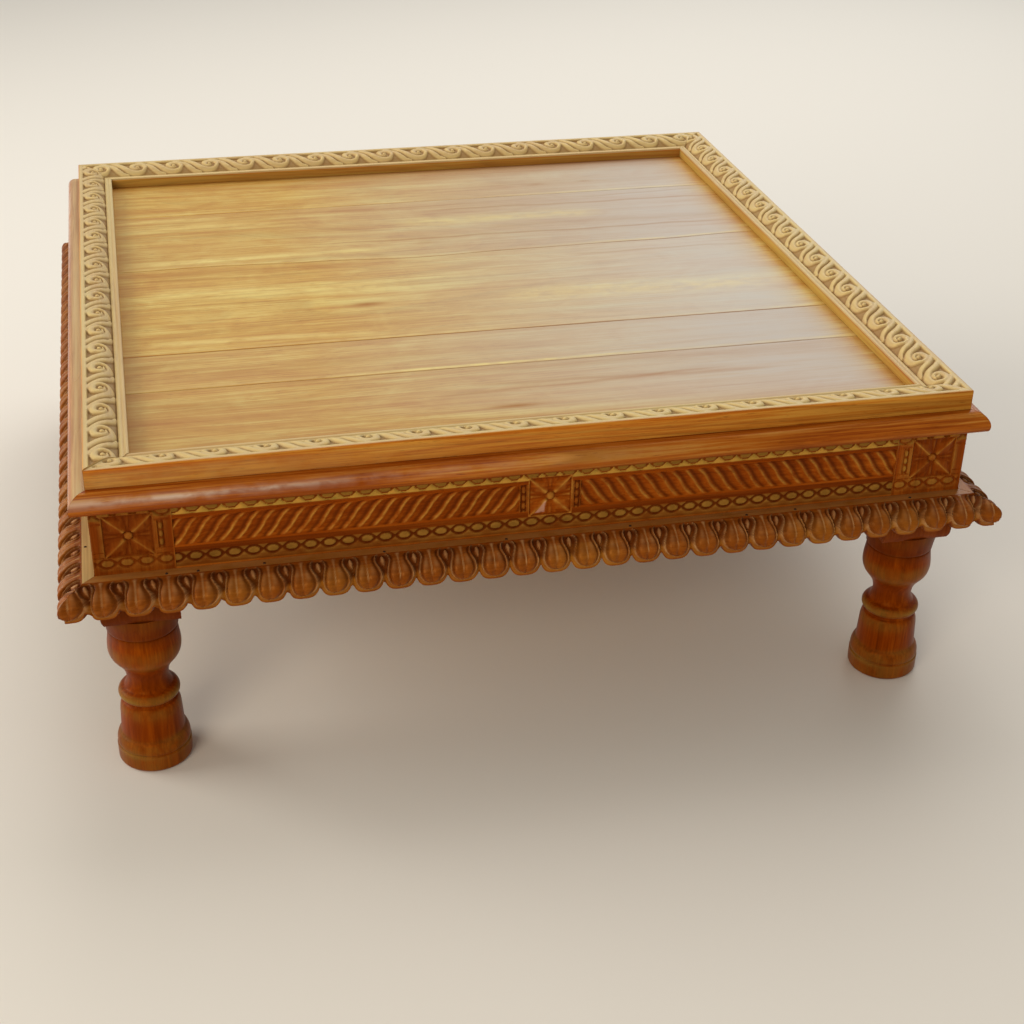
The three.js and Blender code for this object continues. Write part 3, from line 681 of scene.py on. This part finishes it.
# Rusted brown-black, only half shiny any more.
old_iron, tree = bare_material("old dark iron")
surface = add_node(tree, "BsdfPrincipled", {"Base Color": linear("#43291A"), "Metallic": 0.6,
                                            "Roughness": 0.55})
add_node(tree, "OutputMaterial", {0: surface})
skirt, skirt_look = skirt_grid()
nail_places = np.array([-383, -353, -289, -171, -47, 83, 208, 262, 391])
for turns, side in enumerate(SIDES):
    along_grain = skirt * MM + (0.27 * turns, 0.04 * turns, 0.3)
    # The left skirt's ledge takes the pale raw-wood colour: worn, and painted paler for light
    # glancing off it from the left.
    if side == "left":
        skirt_look[:, :LEDGE_POINTS] = (0, 0, -0.95)
    shells = [shell("petals", quarter_turn(skirt, turns), along_grain, skirt_look, skirt_wood)]
    for number, x in enumerate(nail_places + 7 * turns * np.cos(nail_places)):
        nail = nail_head(x, FACE + 8.5 + math.sin(number * 2.3))
        shells.append(shell("nail", quarter_turn(nail, turns), 0, 0, old_iron))
    dress(joined("petal_skirt_" + side, shells), "skirt_" + side)


# CORNICE
# Four mitred bars with a rounded nose, planed by hand. They lie on the friezes and leg heads,
# and a lip inside them carries the planks.

def nose_section():
    """Outward distance and height round the bar's section: flat below, nose, flat top, and the
    rabbet that carries the planks."""
    return np.concatenate([
        [[-45, 0.5], [-44.5, 0]], [[13.4, 0]],
        curve((13.4, 0), (15.6, 0), (17, 1.8), (17, 6), 6),
        curve((17, 6), (17, 12.4), (11.4, 19.4), (4.4, 20), 16),
        [[4, 20], [-36.8, 20], [-37.3, 19.6], [-37.3, 9.4], [-37.6, 9], [-44.6, 9], [-45, 8.6]],
    ])


# Orange-brown shellac with clear grain and a bright streaky gloss along the nose. A painted
# highlight runs along the nose towards the left end, painted shade lies under the nose and a
# little more towards the right, and the left bar's top is worn and painted pale for glancing light.
cornice_wood = oiled_wood(
    "planed teak under worn shellac", ("#94420A", "#B66216", "#CA8838"), grime_and_shade="#6A2606",
    bare_and_highlight="#E2CCB4", wash="#A8864A", roughness=0.25, shine=0.3, fine=1.0, lines=0.35,
    contrast=1.8, chip="#CCB482")
nose_out, nose_up = nose_section().T
stations = np.linspace(-1, 1, 240)[:, None]
out = 450 + nose_out
x = stations * (out - 0.25)
cornice = np.stack([x, -np.broadcast_to(out, x.shape),
                    HEAD_TOP + nose_up + uneven(x, out, 0.14)], -1)
cornice_look = np.zeros(cornice.shape)
# Painted highlight: a pale band along the nose, strongest towards the left end, and a narrow glint
# near that end.
nose_highlight = bell(nose_out - 14.2, 2.6) * (nose_up > 6)
glint = bell(nose_out - 14.9, 1.1) * (nose_up > 8)
cornice_look[..., 1] = (nose_highlight * held(0.08 - 0.22 * stations)
                        + 0.5 * glint * bell(stations + 0.74, 0.26))
# Painted shade under the nose, and a little more towards the right end.
cornice_look[..., 0] = (0.55 * held((7 - nose_up) / 6) * (nose_out > 3)
                        + 0.08 * held(stations + 0.6))
for turns, side in enumerate(SIDES):
    along_grain = cornice * MM + (0.23 * turns, 0.07 * turns, 0.1)
    # The left bar's top takes the pale raw-wood colour: worn, and painted paler for light glancing
    # off it from the left.
    if side == "left":
        cornice_look[..., 2] = -0.9 * held((nose_up - 13) / 6)
    dress(shell("round_cornice_" + side, quarter_turn(cornice, turns), along_grain, cornice_look,
                cornice_wood), "cornice_" + side)


# TRAY PLANKS
# Five teak planks side by side along X, joined by tongues and grooves and polished with the
# years of use. Their ends and outer edges lie on the cornice's lip, under the rim.

TRAY_HALF = 407  # half the tray's width between the rim's walls

# Knots and smudges: middle x and y, half length and width, and how dark (below 0, pale).
SPOTS = (
    (-125, -58, 18, 6, 0.8), (-15, -352, 26, 4, 0.7), (-360, -185, 30, 12, 0.2),
    (-330, 60, 40, 10, 0.16), (-340, -300, 40, 16, 0.14), (-300, 112, 70, 5, -0.35),
    (-300, -340, 160, 50, 0.14), (-90, 95, 12, 5, 0.3), (-22, 128, 8, 5, 0.3),
    (170, 322, 12, 5, 0.25), (240, 326, 9, 4, 0.25), (-385, -190, 14, 9, 0.3))
# Long streaks: from x and y, to x and y, half width, and how dark.
LONG_STREAKS = (
    (-160, 144, 410, 141, 2.4, 0.42), (-410, 55, -150, 50, 2.6, 0.34),
    (140, 56, 410, 54, 2, 0.26), (-410, 264, 120, 258, 2.2, 0.22),
    (-20, 244, 410, 238, 2.4, 0.34), (200, 262, 410, 268, 1.8, 0.26),
    (-410, 330, -180, 334, 5, 0.16), (-410, 205, -60, 190, 14, 0.12),
    (-410, 108, -200, 104, 5, 0.14), (-410, -110, 60, -118, 10, 0.12),
    (-100, -318, 250, -300, 3, 0.28), (-60, -296, 300, -312, 4, 0.24),
    (-400, -290, -200, -300, 8, 0.16), (-410, 375, 260, 380, 12, 0.20),
    (40, 172, 410, 165, 9, 0.15), (-380, -215, -60, -210, 9, 0.12),
    (-410, 74, -110, 70, 7, 0.22), (-410, 262, -260, 262, 5, -0.6),
    (-400, 15, -60, -8, 16, -0.35), (-60, 205, 240, 200, 14, -0.35),
    (20, -60, 400, -70, 22, -0.3), (-400, -130, -120, -138, 6, -0.4),
    (-60, -260, 400, -268, 10, 0.12), (60, 330, 400, 322, 12, 0.12),
    (-410, 108, -60, 117, 8, -0.45), (-410, 236, -200, 232, 8, -0.4))


def crack_bend(x):
    """How many millimetres the joint of the third and fourth plank wanders: a broad dip left
    of the middle, a smaller one on the right, and a ripple."""
    return -13 * bell(x + 30, 150) - 6 * bell(x - 230, 120) + np.sin(x / 27)


def stains_and_painted_light(x, y):
    """How dark the tray is, or below zero how pale: a golden margin along the walls, partly dirt
    and partly painted shade, a darker band at the back that is the back rim's painted shadow,
    the spots, and the streaks, each about a line with two small waves and fading at its ends.
    And how much of a painted reflection of the window greys and pales it, more on the right,
    less at the walls."""
    wall = np.clip(TRAY_HALF - np.maximum(np.abs(x), -y), 0, 400)
    # The margin along the walls: partly dirt, partly painted shade.
    margin = 0.36 * np.exp(-wall / 14)
    # Painted shadow of the back rim: a dark band along the back wall.
    behind = 0.85 * np.exp(-np.clip(TRAY_HALF - y, 0, 400) / 15)
    spots = 0.0
    for cx, cy, long, wide, much in SPOTS:
        spots = spots + much * np.exp(-((x - cx) / long) ** 2 - ((y - cy) / wide) ** 2)
    for x0, y0, x1, y1, half, much in LONG_STREAKS:
        share = (x - x0) / (x1 - x0)
        line = y0 + (y1 - y0) * share + 1.6 * np.sin(x / 37 + y0) + 0.8 * np.sin(x / 13 + x0)
        faded = held(np.minimum(share, 1 - share) * 7)
        spots = spots + much * faded * bell(y - line, half)
    # Painted reflection of the window: greyer and paler towards the right, less near the walls.
    wash_and_reflection = 0.4 + 0.65 * np.clip(x / 340, -1, 1) - 1.5 * np.exp(-wall / 19)
    return np.clip(margin + behind + spots, -1, 0.9), held(wash_and_reflection)


# Golden and cloudy from years of polishing, greyer and paler towards the right under a painted
# reflection of the window, brown along the walls from dirt and painted shade, with a painted
# shadow along the back and an even sheen.
tray_wood = oiled_wood(
    "polished teak planks", ("#B67C32", "#CA9E4A", "#DCC470"), grime_and_shade="#9A5E1C",
    bare_and_highlight="#F0DC88", wash="#BEB6AC", roughness=0.38, shine=0.3, fine=0.65, lines=0.14,
    contrast=1.05, mottle=0.5)
PLANK_TOP = 340
UNDER_POINTS = 4  # points of a ring that lie below the top
seams = np.concatenate([[-413.0], -413 + 826 * np.cumsum([0.197, 0.111, 0.304, 0.228, 0.16])])
# For each plank: how much more it is washed out, and how grimy it is all over.
fading = (0.06, 0.08, -0.06, 0.04, -0.06)
soiling = (0.14, 0.09, 0, 0.09, 0.05)
# How dark each joint is, and how strong the painted highlight along the edge of the plank behind
# it.
joint_dark = (0, 0.55, 0.85, 0.65, 0.25, 0)
edge_highlights = (0.2, 1, 0.4, 0.5, 0.4)
x = np.linspace(-412.6, 412.6, 110)
for number, (near, far) in enumerate(zip(seams[:-1], seams[1:]), 1):
    count = int((far - near) / 2.1)
    edge = np.array([0.15, 0.3, 0.8])
    y = np.concatenate([near + edge, np.linspace(near + 2.5, far - 2.5, count), far - edge[::-1]])
    dip = np.array([1.2, 0.45, 0.08, *[0] * count, 0.08, 0.45, 1.2])
    across = (y - near) / (far - near) * 2 - 1
    along, over = np.meshgrid(x, y, indexing="ij")
    top = (PLANK_TOP - dip + 0.14 * across ** 2 - 0.1
           + uneven(along, over * 3 + 77 * number, 0.09))
    under = np.empty((len(x), UNDER_POINTS, 3))
    under[..., 0] = x[:, None]
    under[..., 1] = (far - 0.15, far - 8, near + 8, near + 0.15)
    under[..., 2] = (329.5, 320.3, 320.3, 329.5)
    grid = np.concatenate([np.stack([along, over, top], -1), under], 1)
    beside_crack = held(1 - np.abs(grid[..., 1] - seams[3]) / 90)
    grid[..., 1] += crack_bend(grid[..., 0]) * beside_crack
    grime_and_shade, wash_and_reflection = stains_and_painted_light(grid[..., 0], grid[..., 1])
    from_near, from_far = over - near, far - over
    dark = np.where(from_near < from_far, joint_dark[number - 1], joint_dark[number])
    seam = dark * bell(np.minimum(from_near, from_far), 0.9)
    # Painted highlight: a pale line along the plank's edge beside the joint.
    pale = edge_highlights[number - 1] * bell(from_near - 4, 2.4)
    pale = pale * (0.6 + 0.4 * np.sin(along / 90 + number))
    seam, pale = (np.pad(part, ((0, 0), (0, UNDER_POINTS))) for part in (seam, pale))
    above = grid[..., 2] > 335
    pale = np.maximum(pale, held(-grime_and_shade) * above)
    grime_and_shade = np.where(above, held(grime_and_shade) + soiling[number - 1], 0.5)
    look = np.stack([np.maximum(grime_and_shade, seam), pale,
                     held(wash_and_reflection + fading[number - 1]) * above], -1)
    along_grain = grid * MM + (1.7 * number, 0.013 * number, 0.021 * (number % 3))
    dress(shell("tray_plank_%d" % number, grid, along_grain, look, tray_wood),
          "top_plank_%d" % number)


# RIM
# Four mitred bars nailed round the tray, rolled over towards it, carved with a running scroll
# between a flat outer strip and a flat inner one with a bead along the tray.

SCROLL_PITCH = 49.2
SCROLL_START = 4.5  # how far from the bar's outer edge the scroll begins
SCROLL_STEPS = 200  # points along one repeat
KNOB = (19.2, 2.7)  # the knob's distance from the outer edge, and its radius
GROUND = -3.4


def band_share(u, v, points, halves):
    """How far each place lies from a curved band, as a share of the band's half width there:
    the least distance over the points of the band's middle line, over its half width."""
    far = np.full(u.shape, 9.0)
    for (x, y), half in zip(points, halves):
        far = np.minimum(far, np.hypot(u - x, v - y) / half)
    return far


def scroll_cell():
    """One repeat of the running scroll as heights on a grid of u along the bar and v from its
    outer edge. A band winds out from over a small knob, widens under it, rises on its far side
    to the crest and sweeps out to the bar's edge, and a second one follows it. Narrow grooves
    part them, and beside them the ground is cut deep."""
    u = np.arange(0, SCROLL_STEPS) * SCROLL_PITCH / SCROLL_STEPS - SCROLL_PITCH / 2
    u, v = np.meshgrid(u, SCROLL_START + np.arange(0, 117) * 0.25, indexing="ij")
    turn = np.radians([125, 90, 45, 0, -45, -90, -135, -180, -225, -265])
    radius = np.array([4.4, 4.5, 5.6, 7.5, 9, 9.2, 9.8, 11, 11.2, 9.9])
    winding = np.stack([radius * np.cos(turn), KNOB[0] + radius * np.sin(turn)], -1)
    sweep = [(5.5, 28.7), (11, 26.3), (16, 21.4), (20.2, 15.3), (26, 9), (33.4, 3.6)]
    beside = [(12.6, 32), (20.4, 30.2), (26.6, 24.7), (31.8, 17), (38.8, 10.6), (48.2, 4.9)]
    scroll_bands = (
        (np.concatenate([winding, sweep]),
         (1, 1.4, 2, 3.3, 4.3, 4, 3.1, 2.7, 2.7, 3.2, 3.5, 3.8, 4.2, 4.3, 4.1, 3.5), -0.1),
        (np.array(beside), (1.6, 2.8, 3.7, 3.9, 3.8, 3), -0.2),
    )
    kernel = np.hanning(23)
    kernel /= kernel.sum()
    level = np.full(u.shape, GROUND)
    for places, halves, top in scroll_bands:
        stops = np.linspace(0, 1, len(places))
        fine = np.linspace(0, 1, 20 * len(places))
        lines = [np.pad(np.interp(fine, stops, column), 11, mode="reflect", reflect_type="odd")
                 for column in places.T]
        smooth = np.stack([np.convolve(line, kernel, mode="valid") for line in lines], -1)
        widths = np.interp(fine, stops, halves)
        for shift in (-SCROLL_PITCH, 0, SCROLL_PITCH):
            part = band_share(u - shift, v, smooth, widths)
            level = np.maximum(level, top - 1.7 * part ** 2.5 - 6 * held(part - 1))
    level = np.maximum(level, GROUND + 3.3 * held((6.1 - v) / 0.8))
    ring = np.hypot(u, v - KNOB[0])
    dome = 0.2 - 2.4 * (1 - np.sqrt(held(1 - (ring / KNOB[1]) ** 2)))
    knob = np.where(ring < KNOB[1], dome, -2.2)
    return blurred(np.where(ring < 3.2, np.maximum(np.minimum(level, -2.1), knob), level), 1)


def scroll_relief(along, inward, cell):
    """Heights read from the cell between its grid points, repeated along the bar."""
    u = ((along / SCROLL_PITCH + 0.5) % 1) * SCROLL_STEPS
    v = np.clip((inward - SCROLL_START) * 4, 0, 115.99)
    i, j = np.floor(u).astype(int), np.floor(v).astype(int)
    a, b = u - i, v - j
    i, k = i % SCROLL_STEPS, (i + 1) % SCROLL_STEPS
    low = cell[i, j] * (1 - a) + cell[k, j] * a
    return low * (1 - b) + (cell[i, j + 1] * (1 - a) + cell[k, j + 1] * a) * b


def rim_grid(phase, cell, bow, dull):
    """Rings are sections of the rim carried along the front: outer face, outer strip, carved
    field rolling over inwards, flat strip, fine cut, bead and inner wall. phase shifts the
    scroll along the bar. bow lifts the bar's middle and drops its worn left end, in
    millimetres. dull is how much painted shade darkens the inner wall, and it takes that much
    off the wall's pale raw-wood colour."""
    across = np.concatenate([[0.35, 1.1, 2.4, 3.6], np.arange(4.1, 34.4, 0.62),
                             [34.8, 36, 37.4, 38, 38.4, 38.8]])
    rolled = np.interp(across,
                       [0, 0.35, 1.1, 4.5, 12, 17, 20, 22, 24, 26.5, 29, 31.5, 33.5, 34.2, 39],
                       [21, 21.6, 21.9, 22, 21.9, 21.6, 21.1, 20.6, 19.9, 18.5, 16.6, 14.4, 12.8,
                        12.5, 12.5])
    bead = np.linspace(0, np.pi, 9)[1:-1]
    w = np.concatenate([[0, 0, 0, 0], across, 41 - 2 * np.cos(bead),
                        [43, 43, 43, 43, 42.6, 0.5]])
    z = np.concatenate([[0.4, 8, 15, 20.6], rolled, 12.3 + np.sin(bead),
                        [11.2, 10.3, 9.5, 0.6, 0, 0]])
    share = np.linspace(-1, 1, 1010)
    out = 450 - w
    x = share[:, None] * (out - 0.25)
    top = (w > 0.1) & (w < 38.6) & (z > 5)
    field = held((w - 4.3) / 0.6) * held((34.0 - w) / 0.6) * top
    near_end = held((out - np.abs(x) - 0.4) / 1.6)
    relief = scroll_relief(x - phase, np.broadcast_to(w, x.shape), cell) * field * near_end
    cut = 0.4 * bell(w - 38.4, 0.45) * top
    lift = bow * (1.3 * bell(x, 260) - 1.6 * bell(x + 450, 70)) * z / 22
    height = z + relief - cut + uneven(x, w, 0.14) * (z > 5) + lift
    grid = np.stack([x, -np.broadcast_to(out, x.shape), PLANK_TOP + height], -1)
    wall = (w > 42.5) & (z < 10)
    face = (w < 0.5) & (z < 20)
    towards_right = share[:, None]
    look = carved_look(relief, 4.2, 2, 1.0, 0.6)
    look[..., 0] = np.clip((-relief - 1.2) / 3.2, 0, 0.5) + 0.2 * look[..., 0] * field
    # The outer face is darker and redder towards the right end, paler, rubbed and chipped towards
    # the left: partly its own marks, partly painted light from the left.
    look[..., 0] += dull * wall + 0.4 * held(towards_right) * face
    look[..., 1] += 0.22 * held(-towards_right) * face
    # The whole top takes the pale wash: worn pale, and painted paler for the light falling on top.
    look[..., 2] = held((w - 0.2) / 1.2) * held((z - 10.4) / 0.8)
    look[..., 2] -= (0.85 - dull) * wall + np.clip(0.16 - 0.16 * towards_right, 0, 0.3) * face
    return grid, look


# Worn nearly back to pale dry wood on top and painted paler there for the light falling on it,
# brown in the deep ground, and still orange under streaky shellac on the outer face.
rim_wood = oiled_wood(
    "carved teak, worn pale on top", ("#AC4C08", "#C67018", "#D89436"), grime_and_shade="#7A4A0C",
    bare_and_highlight="#DCBE78", wash="#CFB983", roughness=0.42, shine=0.3, fine=1.2, lines=0.4,
    contrast=1.8, gleam="#FFC878", chip="#CEB25C")
cell = scroll_cell()
for turns, (side, phase) in enumerate(zip(SIDES, (-31.5, -13.3, -22.7, -24.0))):
    # The back bar's inner wall faces away from the light, so dull paints more shade on it.
    rim, rim_look = rim_grid(phase, cell, bow=1.0 if side == "front" else 0.0,
                             dull=0.3 if side == "back" else 0.05)
    along_grain = rim * MM + (0.29 * turns, 0.06 * turns, 0.2)
    dress(shell("carved_rim_" + side, quarter_turn(rim, turns), along_grain, rim_look, rim_wood),
          "rim_" + side)


# BATTENS AND DRAW PEGS
# Two bare battens across the planks' underside, and eight riven pegs through the tenons. Both
# stay as the CAD solids, with sawn, unfinished wood.

SAWN = (140, 5, 140)  # waves per metre: streaks of 7 mm, 200 mm long along Y
# Dry brown wood straight from the saw: dull, streaky and slightly rough.
inner_wood, tree = bare_material("sawn teak, unfinished")
place = add_node(tree, "TexCoord", {}).outputs["Object"]
sawn_place = add_node(tree, "Mapping", {"Scale": SAWN, 0: place})
sawn = add_node(tree, "TexNoise", {"Scale": 1.0, "Detail": 5.0, "Vector": sawn_place})
ramp = add_node(tree, "ValToRGB", {0: sawn})
for stop, position, tone in zip(ramp.color_ramp.elements, (0.3, 0.7), ("#6E4A26", "#A47C4A")):
    stop.position, stop.color = position, linear(tone)
bump = add_node(tree, "Bump", {"Strength": 0.4, "Distance": 0.0004, "Height": sawn})
surface = add_node(tree, "BsdfPrincipled", {"Roughness": 0.75, "Base Color": ramp,
                                            "Normal": bump})
add_node(tree, "OutputMaterial", {0: surface})
for name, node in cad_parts.items():
    if name.startswith(("batten", "peg")):
        node.data.materials.clear()
        node.data.materials.append(inner_wood)


# STUDIO
# A plain pale floor, cool soft lights behind on the right, above and on the left, a warm one in
# front, and a pale sky. The camera stands where the photograph was taken from.

floor_mesh = bpy.data.meshes.new("floor")
floor_mesh.from_pydata([(-30, -30, 0), (30, -30, 0), (30, 30, 0), (-30, 30, 0)], [],
                       [(0, 1, 2, 3)])
floor_paint, tree = bare_material("pale matt floor")
surface = add_node(tree, "BsdfPrincipled", {"Base Color": linear("#E8DFD0"), "Roughness": 0.85})
add_node(tree, "OutputMaterial", {0: surface})
floor_mesh.materials.append(floor_paint)
floor = in_scene("floor", floor_mesh)

for name, where, aim, size, power, colour in (
    ("behind", (2.3, 2.9, 1.6), (0.2, 0, 0.34), (2.6, 1.9), 17, (0.88, 0.94, 1)),
    ("above", (0.6, 1.8, 3), (0, 0, 0.3), (3, 3), 66, (0.97, 0.98, 1)),
    ("left", (-3, 0.7, 1.5), (0, 0, 0.3), (2.2, 1.6), 52, (0.98, 0.98, 0.96)),
    ("front", (-1.9, -2.9, 1.75), (0, 0, 0.25), (1.7, 1.4), 44, (1, 0.90, 0.76)),
):
    lamp = bpy.data.lights.new(name, "AREA")
    lamp.shape = "RECTANGLE"
    lamp.size, lamp.size_y = size
    lamp.energy, lamp.color = power, colour
    holder = in_scene(name, lamp)
    back = np.array(where, float) - np.array(aim, float)
    back /= np.linalg.norm(back)
    right = np.cross((0, 0, 1.0), back)
    right /= np.linalg.norm(right)
    turn = np.stack([right, np.cross(back, right), back], 1)
    holder.matrix_world = Matrix.Translation(where) @ Matrix(turn.tolist()).to_4x4()

world = bpy.data.worlds.new("pale sky")
bpy.context.scene.world = world
world.use_nodes = True
world.node_tree.nodes.clear()
sky = add_node(world.node_tree, "Background", {"Color": (0.92, 0.94, 0.96, 1), "Strength": 0.35})
add_node(world.node_tree, "OutputWorld", {0: sky})

lens = bpy.data.cameras.new("camera")
lens.sensor_width, lens.lens = 36.0, 58.8058
camera = in_scene("camera", lens)
CAMERA_PLACE = (-0.3770, -1.8656, 1.1083)
RIGHT = (0.9748206, -0.2223185, 0.0172968)
UP = (0.0962806, 0.4895946, 0.8666182)
BACK = (-0.2011337, -0.8431320, 0.4986719)
turn = np.stack([RIGHT, UP, BACK], 1)
camera.matrix_world = Matrix.Translation(CAMERA_PLACE) @ Matrix(turn.tolist()).to_4x4()
bpy.context.scene.camera = camera
bpy.context.scene.view_settings.view_transform = "Standard"
